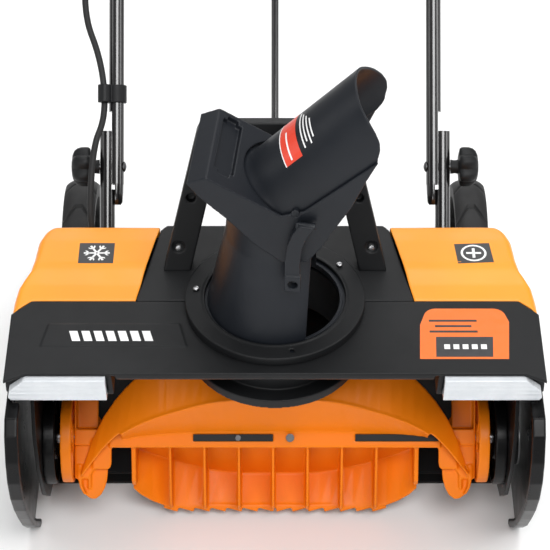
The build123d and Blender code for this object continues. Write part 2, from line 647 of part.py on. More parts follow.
def bail_pivots():
    out = []
    for s in (-1, 1):
        clip = rod(along(HANDLE_L - 84, 0, s * UPPER_X), along(HANDLE_L - 64, 0, s * UPPER_X), TUBE_R + 3)
        clip += rod(along(HANDLE_L - 74, 0, s * (UPPER_X - 15)), along(HANDLE_L - 74, 0, s * (UPPER_X - 8)), 6)
        clip += rod(along(HANDLE_L - 74, 0, s * (UPPER_X - 25)), along(HANDLE_L - 74, 0, s * (UPPER_X - 8)), 3)
        tube = rod(along(HANDLE_L - 90, 0, s * UPPER_X), along(HANDLE_L - 60, 0, s * UPPER_X), TUBE_R + 0.02)
        out.append(clip - tube)
    return Compound(children=out)


def crank_rest():
    """The open saddle on the cross tube in which the crank rod lies."""
    top = REST_H + 7
    body = handle_block(688, 712, -11, top, -9, 9) - rod(along(700, 0, -20), along(700, 0, 20), 7.02)
    slot_a, slot_b = along_crank(500), along_crank(900)
    body -= rod(slot_a, slot_b, 4.5)
    n = math.radians(HANDLE_SLOPE)
    lift = [(slot_a[1], slot_a[2]), (slot_b[1], slot_b[2]),
            (slot_b[1] - 60 * math.sin(n), slot_b[2] + 60 * math.cos(n)),
            (slot_a[1] - 60 * math.sin(n), slot_a[2] + 60 * math.cos(n))]
    return body - prism("x", lift, -4.5, 4.5)


def rest_height():
    """Height of the crank's axis above the handle's plane at the rest."""
    c, n = math.cos(math.radians(HANDLE_SLOPE)), math.sin(math.radians(HANDLE_SLOPE))
    cc, cn = math.cos(math.radians(CRANK_TILT)), math.sin(math.radians(CRANK_TILT))
    y0, z0 = CRANK_Y - FOLD_Y, CRANK_Z - FOLD_Z
    k = (700 - y0 * c - z0 * n) / (cc * c + cn * n)
    y, z = y0 + k * cc, z0 + k * cn
    return -y * n + z * c


REST_H = rest_height()


# ---- chassis behind the rotor housing ----
def chassis():
    """The hollow tub between the wheels that holds the motor and the handle sockets."""
    outline = [(114.3, 60), (114.3, 232), (126.3, 232), (126.3, 246), (150, 250), (196, 222), (262, 164), (318, 118),
               (330, 104), (330, 78), (306, 66)]
    tub = prism("x", outline, -150, 150)
    inner = [(y + (3 if y < 200 else -3), z + (3 if z < 100 else -3)) for y, z in outline]
    tub -= prism("x", inner, -147, 147)
    tub -= cyl_x(-160, 160, WHEEL_Y, WHEEL_R, 8.1)
    tub -= cyl_x(140, 160, MOTOR_Y, MOTOR_Z, 12)
    for k in range(6):
        tub -= box(-90 + 32 * k, -70 + 32 * k, 150, 300, 120, 124) & box(-200, 200, 326, 340, 60, 200)
    return tub


def side_arm():
    """The right side arm from the housing back to the axle, with the tube socket on it."""
    outline = [(114.3, 62), (114.3, 232), (127, 232), (127, 240), (168, 236), (196, 204), (236, 150), (322, 120),
               (326, 84), (300, 66)]
    hollow = [(128, 68), (128, 120), (150, 128), (290, 114), (316, 106), (318, 88), (298, 72)]
    arm = prism("x", outline, 150.2, 204) - prism("x", hollow, 155, 199)
    arm -= cyl_x(140, 210, WHEEL_Y, WHEEL_R, 8.1)
    arm -= rod(along(-192, 0, LOWER_X), along(60, 0, LOWER_X), TUBE_R + 0.02)
    arm -= cyl_x(140, 220, MOTOR_Y, MOTOR_Z, 13)
    return arm


def axle():
    return cyl_x(-256, 256, WHEEL_Y, WHEEL_R, 8)


def wheel():
    """A moulded wheel: a hub, seven spokes and a rim with two staggered rows of chunky tread blocks."""
    x0, x1 = WHEEL_X - WHEEL_W / 2, WHEEL_X + WHEEL_W / 2
    body = cyl_x(x0, x1, WHEEL_Y, WHEEL_R, 88) - cyl_x(x0 - 1, x1 + 1, WHEEL_Y, WHEEL_R, 72)
    body += cyl_x(x0, x1, WHEEL_Y, WHEEL_R, 20) + cyl_x(WHEEL_X - 3, WHEEL_X + 3, WHEEL_Y, WHEEL_R, 74)
    for k in range(7):
        body += Pos(WHEEL_X, WHEEL_Y, WHEEL_R) * Rot(360 / 7 * k, 0, 0) * Pos(0, 45, 0) * Box(26, 56, 5)
    for k in range(22):
        for row, (a0, a1) in enumerate(((x0, WHEEL_X - 1), (WHEEL_X + 1, x1))):
            turn = Rot(360 / 22 * (k + 0.5 * row), 0, 0)
            body += Pos(0, WHEEL_Y, WHEEL_R) * turn * box(a0, a1, -7, 7, 86, WHEEL_R + 1)
    body &= cyl_x(x0, x1, WHEEL_Y, WHEEL_R, WHEEL_R)
    return body - cyl_x(x0 - 1, x1 + 1, WHEEL_Y, WHEEL_R, 8.06)


def hub_cap():
    x1 = WHEEL_X + WHEEL_W / 2
    cap = cyl_x(x1 + 0.3, x1 + 6, WHEEL_Y, WHEEL_R, 17)
    return cap - cyl_x(x1 - 1, x1 + 5.4, WHEEL_Y, WHEEL_R, 8.02)


# ---- drive ----
def motor():
    can = cyl_x(-60, 84, MOTOR_Y, MOTOR_Z, 44)
    for k in range(5):
        x = -40 + 22 * k
        can -= cyl_x(x, x + 8, MOTOR_Y, MOTOR_Z, 50) - cyl_x(x - 1, x + 9, MOTOR_Y, MOTOR_Z, 42)
    nose = cyl_x(84, 128, MOTOR_Y, MOTOR_Z, 18)
    foot = box(-56, 80, MOTOR_Y - 30, MOTOR_Y + 30, 67.0, MOTOR_Z - 36)
    hollow = cyl_x(-54, 78, MOTOR_Y, MOTOR_Z, 40) - cyl_x(-55, 79, MOTOR_Y, MOTOR_Z, 24)
    return can + nose + foot - hollow - cyl_x(60, 130, MOTOR_Y, MOTOR_Z, 6.06)


def motor_shaft():
    return cyl_x(62, 268, MOTOR_Y, MOTOR_Z, 6)


def pulley(y, z, r, bore):
    wheel_ = cyl_x(BELT_X - 5.5, BELT_X + 5.5, y, z, r) + cyl_x(BELT_X - 5.5, BELT_X - 4, y, z, r + 2.2)
    wheel_ += cyl_x(BELT_X + 4, BELT_X + 5.5, y, z, r + 2.2)
    return wheel_ - cyl_x(BELT_X - 8, BELT_X + 8, y, z, bore)


def belt():
    out = prism("x", pulley_loop(ROTOR_Y, ROTOR_Z, 30, MOTOR_Y, MOTOR_Z, 13.9), BELT_X - 3.7, BELT_X + 3.7)
    return out - prism("x", pulley_loop(ROTOR_Y, ROTOR_Z, 28.3, MOTOR_Y, MOTOR_Z, 12.0), BELT_X - 5, BELT_X + 5)


def belt_cover():
    """The rear part of the belt case, outside the right arm."""
    loop = pulley_loop(ROTOR_Y, ROTOR_Z, 44, MOTOR_Y, MOTOR_Z, 26)
    hollow = pulley_loop(ROTOR_Y, ROTOR_Z, 41, MOTOR_Y, MOTOR_Z, 23)
    case = prism("x", loop, 252, 274) - prism("x", hollow, 254, 271)
    case -= cyl_x(240, 260, MOTOR_Y, MOTOR_Z, 8)
    return case & box(200, 300, 123, 260, 60, 260)


def bearing():
    """The flanged bearing unit of the rotor on the inner face of its wall."""
    boss = cyl_x(INNER_W - 13, INNER_W, ROTOR_Y, ROTOR_Z, 52)
    boss += cyl_x(INNER_W, INNER_W + 4, ROTOR_Y, ROTOR_Z, 19.9)
    dish = cyl_x(INNER_W - 14, INNER_W - 9, ROTOR_Y, ROTOR_Z, 46)
    boss -= dish - cyl_x(INNER_W - 14, INNER_W - 9, ROTOR_Y, ROTOR_Z, 24)
    return boss - cyl_x(INNER_W - 20, INNER_W + 10, ROTOR_Y, ROTOR_Z, 7.06)


def scraper():
    """The replaceable scraper bar along the foot of the rear wall."""
    section = [(18, 0.4), (33.5, 0.4), (40, 5), (36, 6), (31, 2.6), (18, 3.0)]
    wall = prism("x", strip(rotor_wall(0)[::-1], 4), -260, 260)
    return prism("x", section, -INNER_W + 1, INNER_W - 1) - wall


def cable_clip():
    """The moulded clip that ties the two cables to the left upper tube."""
    x = -UPPER_X
    ring = rod(along(72, 0, x), along(92, 0, x), TUBE_R + 3)
    ring -= rod(along(60, 0, x), along(100, 0, x), TUBE_R + 0.02)
    saddle = rod(along(72, 9, x - 13), along(92, 9, x - 13), 7.5)
    saddle -= rod(along(60, 0, x), along(100, 0, x), TUBE_R + 1)
    return ring + saddle - rod(along(60, 9, x - 13), along(100, 9, x - 13), 3.62)


def cable_upper():
    """The lead from the switch box, along the left tube and into its clip."""
    pts = [along(HANDLE_L - 20, -24.2, 40), along(HANDLE_L - 20, -36, 40), along(HANDLE_L - 50, -36, -120),
           along(HANDLE_L - 140, -22, -UPPER_X - 7), along(640, 0, -UPPER_X - 15.5), along(330, 9, -UPPER_X - 15),
           along(185, 12, -UPPER_X - 42), along(110, 9, -UPPER_X - 13), along(72, 9, -UPPER_X - 13)]
    return tube_path(pts, 11, 3.6)


def cable_lower():
    """The lead from the clip across the fold and down into the left arm."""
    pts = [along(72, 9, -UPPER_X - 13), along(52, 9, -UPPER_X - 13), along(20, 33, -203), along(-62, 33, -207),
           (-200, 150, 256), (-200, 150, 238.6)]
    return tube_path(pts, 9, 3.6)


# ---- the nodes ----
def pair(shape):
    """The right hand piece and its mirror image as one group of separate solids."""
    return Compound(children=[mirrored(shape), shape])


left_shroud = shroud()
right_wheel = wheel()
right_plate, right_arm = side_plate(), side_arm()
walls = [mirrored(bearing_wall()), bearing_wall() - cyl_x(250, 258, MOTOR_Y, MOTOR_Z, 14)]

nodes = {
    "rotor_housing": housing(),
    "bearing_walls": Compound(children=walls),
    "side_plate_left": mirrored(right_plate),
    "side_plate_right": right_plate,
    "scraper_bar": scraper(),
    "front_cover": front_cover(),
    "centre_cover": centre_cover(),
    "shroud_left": left_shroud,
    "shroud_right": mirrored(left_shroud),
    "chute_neck": neck(),
    "chute_clamp_ring": clamp_ring(),
    "cover_screws": Compound(children=ring_screws() + bracket_screws()),
    "crank_gearbox": gearbox(),
    "carry_bracket": bracket(),
    "light_bezels": pair(light_bezel()),
    "light_lenses": pair(light_lens()),
    "rotor_bearings": pair(bearing()),
    "chassis_tub": chassis(),
    "side_arm_left": mirrored(right_arm),
    "side_arm_right": right_arm,
    "wheel_axle": axle(),
    "hub_caps": pair(hub_cap()),
    "motor": motor(),
    "belt_cover": belt_cover(),
    "drive_belt": belt(),
    "lower_tubes": pair(lower_tube()),
    "fold_bolts": Compound(children=[fold_bolt(-1), fold_bolt(1)]),
    "cable_lower": cable_lower(),
    "rotor_shaft": cyl_x(-256, 268, ROTOR_Y, ROTOR_Z, 7),
    "rotor_paddles": rotor_body(),
    "rotor_end_discs": pair(rotor_ends()),
    "rotor_strips": rotor_strips(),
    "rotor_screws": rotor_screws(),
    "rotor_pulley": pulley(ROTOR_Y, ROTOR_Z, 28, 7.01),
    "motor_shaft": motor_shaft(),
    "motor_pulley": pulley(MOTOR_Y, MOTOR_Z, 11.8, 6.01),
    "wheel_left": mirrored(right_wheel),
    "wheel_right": right_wheel,
    "chute_tube": turned(chute_tube()),
    "chute_hood": turned(hood()),
    "spout_pins": spout_pins(),
    "chute_latch": turned(latch()),
    "spout": turned(spout()),
    "crank_rod": crank_rod(),
    "crank_pinion": crank_pinion(),
    "crank_arm": crank_arm(),
    "crank_grip": crank_grip(),
    "upper_handle": upper_tube(),
    "handle_grip": handle_grip(),
    "switch_box": switch_box(),
    "mains_inlet": inlet(),
    "bail_pivots": bail_pivots(),
    "crank_rest": crank_rest(),
    "cable_clip": cable_clip(),
    "cable_upper": cable_upper(),
    "lock_button": lock_button(),
    "bail_lever": bail(),
    "knob_left": knob(-1),
    "knob_right": knob(1),
}

for name, shape in nodes.items():
    moved = [Pos(0, -MIDDLE_Y, 0) * s for s in shape.solids()]
    export_step(moved[0] if len(moved) == 1 else Compound(children=moved), f"parts/{name}.step")
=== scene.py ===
"""Looks for the single stage snowblower: materials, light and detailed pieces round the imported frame.
Metres, +Z up, the origin on the ground under the machine's middle."""
import json
import math

import bmesh
import bpy
from mathutils import Matrix, Vector


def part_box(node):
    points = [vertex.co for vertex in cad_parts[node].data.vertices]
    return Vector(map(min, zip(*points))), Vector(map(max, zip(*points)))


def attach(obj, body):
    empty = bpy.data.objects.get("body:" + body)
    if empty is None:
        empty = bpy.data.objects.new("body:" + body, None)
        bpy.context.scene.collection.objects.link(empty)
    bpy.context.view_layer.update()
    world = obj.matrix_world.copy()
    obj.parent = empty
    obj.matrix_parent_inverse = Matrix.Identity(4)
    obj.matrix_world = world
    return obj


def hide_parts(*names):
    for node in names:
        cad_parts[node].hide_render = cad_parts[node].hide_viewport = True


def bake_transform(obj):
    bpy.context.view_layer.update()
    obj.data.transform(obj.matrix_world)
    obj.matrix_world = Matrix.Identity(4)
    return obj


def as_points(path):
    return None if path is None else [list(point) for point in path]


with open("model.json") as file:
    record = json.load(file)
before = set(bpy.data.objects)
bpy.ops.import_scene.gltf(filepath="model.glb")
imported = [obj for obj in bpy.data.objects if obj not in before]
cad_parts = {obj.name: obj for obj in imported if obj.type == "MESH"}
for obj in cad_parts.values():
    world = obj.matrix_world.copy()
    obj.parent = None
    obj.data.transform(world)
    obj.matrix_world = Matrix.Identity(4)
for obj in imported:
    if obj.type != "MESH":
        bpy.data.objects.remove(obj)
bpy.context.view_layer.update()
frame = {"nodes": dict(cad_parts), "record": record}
NODES = frame["nodes"]
MM = 0.001

low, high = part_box("chute_neck")
CHUTE_Y = (low.y + high.y) / 2            # the chute's axis, where x is 0
low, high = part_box("front_cover")
COVER_Z = high.z - 0.001                  # top face of the covers
CHUTE_TURN = math.radians(-6)


def at(x, y, z):
    """A point given in millimetres from the ground under the chute's axis."""
    return Vector((x * MM, y * MM + CHUTE_Y, z * MM))


# ---- materials ----
def nodes_of(name):
    """A new material, its node tree and its main shader."""
    mat = bpy.data.materials.new(name)
    mat.use_nodes = True
    tree = mat.node_tree
    return mat, tree, tree.nodes["Principled BSDF"]


def put(tree, kind, inputs=None, **settings):
    """A node of a kind, with its settings, its values and its links."""
    node = tree.nodes.new(kind)
    for key, value in settings.items():
        setattr(node, key, value)
    for key, value in (inputs or {}).items():
        if isinstance(value, bpy.types.NodeSocket):
            tree.links.new(value, node.inputs[key])
        else:
            node.inputs[key].default_value = value
    return node


def noise(tree, where, scale, detail=2.0, rough=0.5):
    """A noise texture over a place."""
    return put(tree, "ShaderNodeTexNoise",
               {"Vector": where, "Scale": scale, "Detail": detail, "Roughness": rough})


def ramp(tree, value, low_at, high_at, low_to=0.0, high_to=1.0):
    """A value mapped from one range to another, and held at its ends."""
    return put(tree, "ShaderNodeMapRange", {"Value": value, "From Min": low_at, "From Max": high_at,
                                            "To Min": low_to, "To Max": high_to}).outputs[0]


def mix(tree, factor, a, b):
    """A colour between two colours."""
    node = put(tree, "ShaderNodeMix", data_type="RGBA")
    for slot_index, value in ((0, factor), (6, a), (7, b)):
        if isinstance(value, bpy.types.NodeSocket):
            tree.links.new(value, node.inputs[slot_index])
        else:
            node.inputs[slot_index].default_value = value if slot_index == 0 else (*value, 1)
    return node.outputs[2]


def finish_of(name, colour, rough, metallic=0.0, coat=0.0, grain=900, depth=0.00006, mottle=0.06,
              edge=0.0008, edge_highlight=None, spec=0.5):
    """A moulded, painted or metal finish: mottled colour, uneven gloss, a fine grain and a patchy painted
    highlight along the edges.
    """
    mat, tree, bsdf = nodes_of(name)
    where = put(tree, "ShaderNodeTexCoord").outputs["Object"]
    broad = noise(tree, where, 9, 3).outputs[0]
    fine = noise(tree, where, grain, 2).outputs[0]
    smudge = noise(tree, where, 38, 5, 0.62).outputs[0]
    dark = tuple(c * (1 - mottle) for c in colour)
    light = tuple(min(1, c * (1 + mottle)) for c in colour)
    base = mix(tree, ramp(tree, broad, 0.35, 0.65), dark, light)
    soft = put(tree, "ShaderNodeBevel", {"Radius": edge}, samples=4).outputs[0]
    true = put(tree, "ShaderNodeNewGeometry").outputs["Normal"]
    dot = put(tree, "ShaderNodeVectorMath", {0: soft, 1: true}, operation="DOT_PRODUCT").outputs["Value"]
    # Painted highlight: edges, found where the rounded-edge normal turns away from the true normal, are
    # lightened in patches.
    rim = ramp(tree, dot, 0.995, 0.86)
    patchy = ramp(tree, smudge, 0.36, 0.62)
    highlight_mask = put(tree, "ShaderNodeMath", {0: rim, 1: patchy}, operation="MULTIPLY").outputs[0]
    highlight_mask = put(tree, "ShaderNodeMath", {0: highlight_mask, 1: 0.55}, operation="MULTIPLY").outputs[0]
    # The painted highlight's colour for the edges: lighter than the base colour unless one is given.
    edge_highlight = edge_highlight or tuple(min(1, c * 1.5 + 0.03) for c in colour)
    tree.links.new(mix(tree, highlight_mask, base, edge_highlight), bsdf.inputs["Base Color"])
    uneven = ramp(tree, smudge, 0.3, 0.7, rough * 0.86, min(1, rough * 1.16))
    tree.links.new(uneven, bsdf.inputs["Roughness"])
    bump = put(tree, "ShaderNodeBump", {"Height": fine, "Normal": soft, "Strength": 0.55, "Distance": depth})
    tree.links.new(bump.outputs[0], bsdf.inputs["Normal"])
    bsdf.inputs["Metallic"].default_value = metallic
    bsdf.inputs["Coat Weight"].default_value = coat
    bsdf.inputs["Coat Roughness"].default_value = 0.12
    bsdf.inputs["Specular IOR Level"].default_value = spec
    return mat


# Where a finish is given a second colour, that colour is the painted highlight laid along its edges.
ORANGE = finish_of("orange_moulding", (0.86, 0.30, 0.022), 0.36, grain=1100, depth=0.00003, mottle=0.035,
                   spec=0.38, edge_highlight=(0.92, 0.42, 0.07))
ROTOR_ORANGE = finish_of("orange_rotor", (0.80, 0.19, 0.003), 0.38, grain=500, depth=0.00003, mottle=0.05,
                         edge=0.0014, spec=0.2, edge_highlight=(0.92, 0.36, 0.03))
BLACK = finish_of("black_moulding", (0.0085, 0.009, 0.0098), 0.46, grain=1500, depth=0.0001, mottle=0.12,
                  spec=0.22, edge_highlight=(0.05, 0.05, 0.052))
GLOSS_BLACK = finish_of("black_glossy_moulding", (0.0035, 0.0035, 0.0038), 0.3, grain=700, depth=0.00002,
                        spec=0.16)
CHUTE = finish_of("chute_moulding", (0.0095, 0.0113, 0.0150), 0.4, grain=1300, depth=0.00008, mottle=0.1,
                  edge=0.0014, spec=0.24, edge_highlight=(0.09, 0.095, 0.105))
TUBE = finish_of("black_paint", (0.006, 0.006, 0.0065), 0.2, coat=0.6, grain=420, depth=0.00002)
STEEL = finish_of("zinc_steel", (0.42, 0.42, 0.43), 0.34, metallic=1.0, grain=600, depth=0.00002,
                  edge_highlight=(0.7, 0.7, 0.7))
DARK_STEEL = finish_of("blackened_steel", (0.11, 0.11, 0.115), 0.36, metallic=0.9, grain=600, depth=0.00002,
                       edge_highlight=(0.4, 0.4, 0.4))
MOTOR_METAL = finish_of("motor_paint", (0.05, 0.05, 0.055), 0.4, metallic=0.3, grain=800, depth=0.00005)
RUBBER = finish_of("rubber", (0.012, 0.012, 0.0125), 0.6, grain=700, depth=0.0001, mottle=0.15, spec=0.35)
RED = finish_of("red_moulding", (0.62, 0.02, 0.012), 0.3, coat=0.2, grain=900, depth=0.00002)


def lens_finish():
    """Frosted clear plastic with a little depth."""
    mat, tree, bsdf = nodes_of("lens_plastic")
    where = put(tree, "ShaderNodeTexCoord").outputs["Object"]
    cloud = noise(tree, where, 60, 4).outputs[0]
    tree.links.new(mix(tree, cloud, (0.52, 0.55, 0.58), (0.68, 0.70, 0.72)), bsdf.inputs["Base Color"])
    fine = noise(tree, where, 900, 2).outputs[0]
    bump = put(tree, "ShaderNodeBump", {"Height": fine, "Strength": 0.3, "Distance": 0.00005})
    tree.links.new(bump.outputs[0], bsdf.inputs["Normal"])
    tree.links.new(ramp(tree, cloud, 0.3, 0.7, 0.12, 0.24), bsdf.inputs["Roughness"])
    bsdf.inputs["Subsurface Weight"].default_value = 0.25
    bsdf.inputs["Subsurface Radius"].default_value = (0.004, 0.004, 0.004)
    bsdf.inputs["Coat Weight"].default_value = 0.6
    return mat


LENS = lens_finish()

FINISH = {"orange_plastic": ORANGE, "black_plastic": BLACK, "chute_plastic": CHUTE, "black_tube": TUBE,
          "bright_steel": STEEL, "lens_plastic": LENS, "dark_rubber": RUBBER, "red_plastic": RED,
          "motor_metal": MOTOR_METAL}
SPECIAL = {"rotor_paddles": ROTOR_ORANGE, "rotor_end_discs": ROTOR_ORANGE, "side_plate_left": GLOSS_BLACK,
           "side_plate_right": GLOSS_BLACK, "rotor_bearings": GLOSS_BLACK, "bearing_walls": GLOSS_BLACK,
           "spout_pins": CHUTE, "rotor_screws": DARK_STEEL}
# Voxel size in millimetres for the mouldings whose edges are softened all over.
SOFTENED = {"chute_latch": 0.7, "carry_bracket": 1.0, "front_cover": 1.0, "centre_cover": 1.0,
            "chute_clamp_ring": 0.9, "chute_neck": 1.0, "light_bezels": 0.9, "light_lenses": 0.6,
            "side_plate_left": 1.1, "side_plate_right": 1.1, "rotor_paddles": 1.1, "rotor_end_discs": 1.0,
            "crank_gearbox": 0.9, "side_arm_left": 1.3, "side_arm_right": 1.3, "chassis_tub": 1.4,
            "belt_cover": 1.1, "crank_rest": 0.8, "cable_clip": 0.6, "crank_arm": 0.8, "rotor_bearings": 1.1,
            "hub_caps": 0.9}
CREASE = math.radians(28)                 # CAD edges sharper than this stay sharp


def clean_group():
    """Joins the split corners of a CAD mesh and shades it smooth up to a crease angle."""
    group = bpy.data.node_groups.new("clean_cad", "GeometryNodeTree")
    group.interface.new_socket("Geometry", in_out="INPUT", socket_type="NodeSocketGeometry")
    group.interface.new_socket("Geometry", in_out="OUTPUT", socket_type="NodeSocketGeometry")
    start = group.nodes.new("NodeGroupInput")
    end = group.nodes.new("NodeGroupOutput")
    merge = put(group, "GeometryNodeMergeByDistance", {"Geometry": start.outputs[0], "Distance": 0.00001})
    bare = put(group, "GeometryNodeRemoveAttribute", {"Geometry": merge.outputs[0], "Name": "custom_normal"})
    smooth = put(group, "GeometryNodeSetShadeSmooth", {"Geometry": bare.outputs[0], "Shade Smooth": True},
                 domain="FACE")
    angle = put(group, "GeometryNodeInputMeshEdgeAngle")
    flat = put(group, "FunctionNodeCompare", {0: angle.outputs[0], 1: CREASE}, operation="LESS_EQUAL")
    edges = put(group, "GeometryNodeSetShadeSmooth",
                {"Geometry": smooth.outputs[0], "Shade Smooth": flat.outputs[0]}, domain="EDGE")
    group.links.new(edges.outputs[0], end.inputs[0])
    return group


def soften(obj, voxel, passes=5):
    """Rebuilds a closed moulding in small even faces and relaxes them, which rounds every edge a little."""
    cells = obj.modifiers.new("cells", "REMESH")
    cells.mode = "VOXEL"
    cells.voxel_size = voxel * MM
    cells.use_smooth_shade = True
    relax = obj.modifiers.new("relax", "SMOOTH")
    relax.factor = 0.5
    relax.iterations = passes
    thin = obj.modifiers.new("thin", "DECIMATE")
    thin.ratio = 0.4


CLEAN = clean_group()
SLOT_OF = {row["node"]: row["material_slot"] for row in frame["record"]["subparts"]}
for name, obj in NODES.items():
    obj.data.materials.clear()
    obj.data.materials.append(SPECIAL.get(name, FINISH[SLOT_OF[name]]))
    obj.modifiers.new("clean", "NODES").node_group = CLEAN
    if name in SOFTENED:
        soften(obj, SOFTENED[name])
        continue
    weigh = obj.modifiers.new("weigh", "WEIGHTED_NORMAL")
    weigh.keep_sharp = True


# ---- mesh helpers ----
def piece(name, shape, mat, body, stands_for=()):
    """Links a mesh as a piece that rides on a body and takes a slot's finish."""
    mesh = shape
    if isinstance(shape, bmesh.types.BMesh):
        mesh = bpy.data.meshes.new(name)
        shape.to_mesh(mesh)
        shape.free()
    obj = bpy.data.objects.new(name, mesh)
    bpy.context.scene.collection.objects.link(obj)
    mesh.materials.clear()
    mesh.materials.append(mat)
    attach(obj, body)
    if stands_for:
        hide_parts(*stands_for)
    return obj


def crease_shade(obj, degrees):
    """Smooth shading, with the edges sharper than an angle left sharp."""
    bm = bmesh.new()
    bm.from_mesh(obj.data)
    for f in bm.faces:
        f.smooth = True
    for e in bm.edges:
        e.smooth = len(e.link_faces) == 2 and e.calc_face_angle(0) < math.radians(degrees)
    bm.to_mesh(obj.data)
    bm.free()


def round_edges(obj, width, segments, degrees):
    """A rounded edge wherever two faces meet at more than an angle."""
    mod = obj.modifiers.new("round", "BEVEL")
    mod.width = width
    mod.segments = segments
    mod.limit_method = "ANGLE"
    mod.angle_limit = math.radians(degrees)
    mod.use_clamp_overlap = False
    mod.miter_outer = "MITER_ARC"


def along_line(points, t):
    """The point a share t of the way along an open line of points."""
    points = [Vector(p) for p in points]
    runs = [(b - a).length for a, b in zip(points, points[1:])]
    left = t * sum(runs)
    for a, b, run in zip(points, points[1:], runs):
        if left <= run or b is points[-1]:
            return a.lerp(b, min(1, left / run))
        left -= run


def spread(n, edge, total):
    """Shares from 0 to 1 for n steps, closer together within a rounded edge at each end."""
    k = 5
    near = [edge * (1 - math.cos(math.pi / 2 * i / k)) / total for i in range(k + 1)]
    middle = [near[-1] + (1 - 2 * near[-1]) * i / (n - 2 * k) for i in range(1, n - 2 * k)]
    return near + middle + [1 - v for v in near[::-1]]


def patch(front, rear, inner, outer, us, vs, height):
    """A curved sheet between four edge lines in plan; height gives z for a plan point. Millimetres."""
    rows = []
    for v in vs:
        left, right = along_line(inner, v), along_line(outer, v)
        row = []
        for u in us:
            bottom, top = along_line(front, u), along_line(rear, u)
            flat = (1 - v) * bottom + v * top + (1 - u) * left + u * right
            flat -= ((1 - u) * (1 - v) * Vector(front[0]) + u * (1 - v) * Vector(front[-1])
                     + (1 - u) * v * Vector(rear[0]) + u * v * Vector(rear[-1]))
            row.append((flat.x, flat.y, height(flat, u, v)))
        rows.append(row)
    return rows


def sheet_mesh(rows, flip):
    """A mesh over rows of points in millimetres, and its grid of corners."""
    bm = bmesh.new()
    grid = [[bm.verts.new(at(*p)) for p in row] for row in rows]
    for a, b in zip(grid, grid[1:]):
        for i in range(len(a) - 1):
            quad = (a[i], a[i + 1], b[i + 1], b[i])
            bm.faces.new(quad[::-1] if flip else quad)
    return bm, grid


def curve_through(points, x):
    """The value at x on a soft curve through (x, value) points."""
    for (a, p), (b, q) in zip(points, points[1:]):
        if x <= b:
            t = max(0.0, (x - a) / (b - a))
            t = t * t * (3 - 2 * t) if abs(q - p) > 4 else t
            return p + (q - p) * t
    return points[-1][1]


# ---- the rear shrouds ----
SHROUD_TOP = [(-20, 300), (3.5, 300), (22, 301), (52, 306), (58, 306.2), (96, 304.5), (114, 302), (140, 301)]


def shroud(side):
    """One shroud: a crowned orange shell with rolled outer and rear edges and a stepped outer side."""
    outer = [(277, -16), (276, 4), (273.4, 24), (268, 36), (262.4, 46), (259, 66), (256.6, 96), (252, 112),
             (243, 124.4)]
    front = [(147.4, 3.5), (200, 3.5), (257, 3.5), (267, -6), (277, -16)]
    rear = [(126, 124.6), (180, 124.6), (243, 124.4)]
    inner = [(147.4, 3.5), (136.4, 60), (126, 117), (126, 124.6)]
    roll, wide, deep = 9.0, 130, 121

    def height(p, u, v):
        drop = 0.0
        for d in ((1 - u) * wide, (1 - v) * deep):
            if d < roll:
                drop += roll - math.sqrt(max(0, roll * roll - (roll - d) ** 2))
        seam = min(u * wide, v * deep)
        drop += 0.8 * max(0, 1 - seam / 1.6) ** 2
        return curve_through(SHROUD_TOP, p.y) - min(drop, roll + 2)

    rows = patch(front, rear, inner, outer, spread(44, roll, wide), spread(44, roll, deep), height)
    rows = [[(side * x, y, z) for x, y, z in row] for row in rows]
    bm, grid = sheet_mesh(rows, flip=side < 0)
    rim = [row[-1] for row in grid] + grid[-1][-2::-1]
    last = rim
    for fall, draw in ((16, 0.6), (34, 1.2), (50, 1.6)):
        ring = []
        for i, v in enumerate(rim):
            inward = Vector((-side * draw, 0, -fall)) if i < len(grid) else Vector((0, -draw * 0.4, -fall))
            ring.append(bm.verts.new(v.co + inward * MM))
        for i in range(len(rim) - 1):
            quad = (last[i], last[i + 1], ring[i + 1], ring[i])
            bm.faces.new(quad if side < 0 else quad[::-1])
        last = ring
    bmesh.ops.recalc_face_normals(bm, faces=bm.faces)
    tag = "left" if side < 0 else "right"
    obj = piece("shroud_shell_" + tag, bm, ORANGE, "frame", ("shroud_" + tag,))
    solid = obj.modifiers.new("wall", "SOLIDIFY")
    solid.thickness = 0.0026
    solid.offset = -1
    crease_shade(obj, 50)


for side in (-1, 1):
    shroud(side)


# ---- wheels and knobs ----
def lathed(rows, middle, closed=True):
    """A turned body about a line along x. Each step of the turn has a row of (x, radius) pairs."""
    bm = bmesh.new()
    grid = []
    for k, row in enumerate(rows):
        a = 2 * math.pi * k / len(rows)
        grid.append([bm.verts.new(middle + Vector((x, r * math.cos(a), r * math.sin(a)))) for x, r in row])
    for k, row in enumerate(grid):
        other = grid[(k + 1) % len(grid)]
        for i in range(len(row) if closed else len(row) - 1):
            j = (i + 1) % len(row)
            bm.faces.new((row[i], row[j], other[j], other[i]))
    bmesh.ops.remove_doubles(bm, verts=bm.verts, dist=1e-6)
    bmesh.ops.recalc_face_normals(bm, faces=bm.faces)
    return bm


def groove(x, turn, pitch):
    """How deep the tread is cut at a place across the tyre: arrow grooves that fork towards the shoulders."""
    bend = abs(x)
    line = (turn - 0.32 * max(0.0, bend - 0.2)) % pitch
    near = min(line, pitch - line)
    return max(0.0, 1 - (near / 0.035) ** 2)


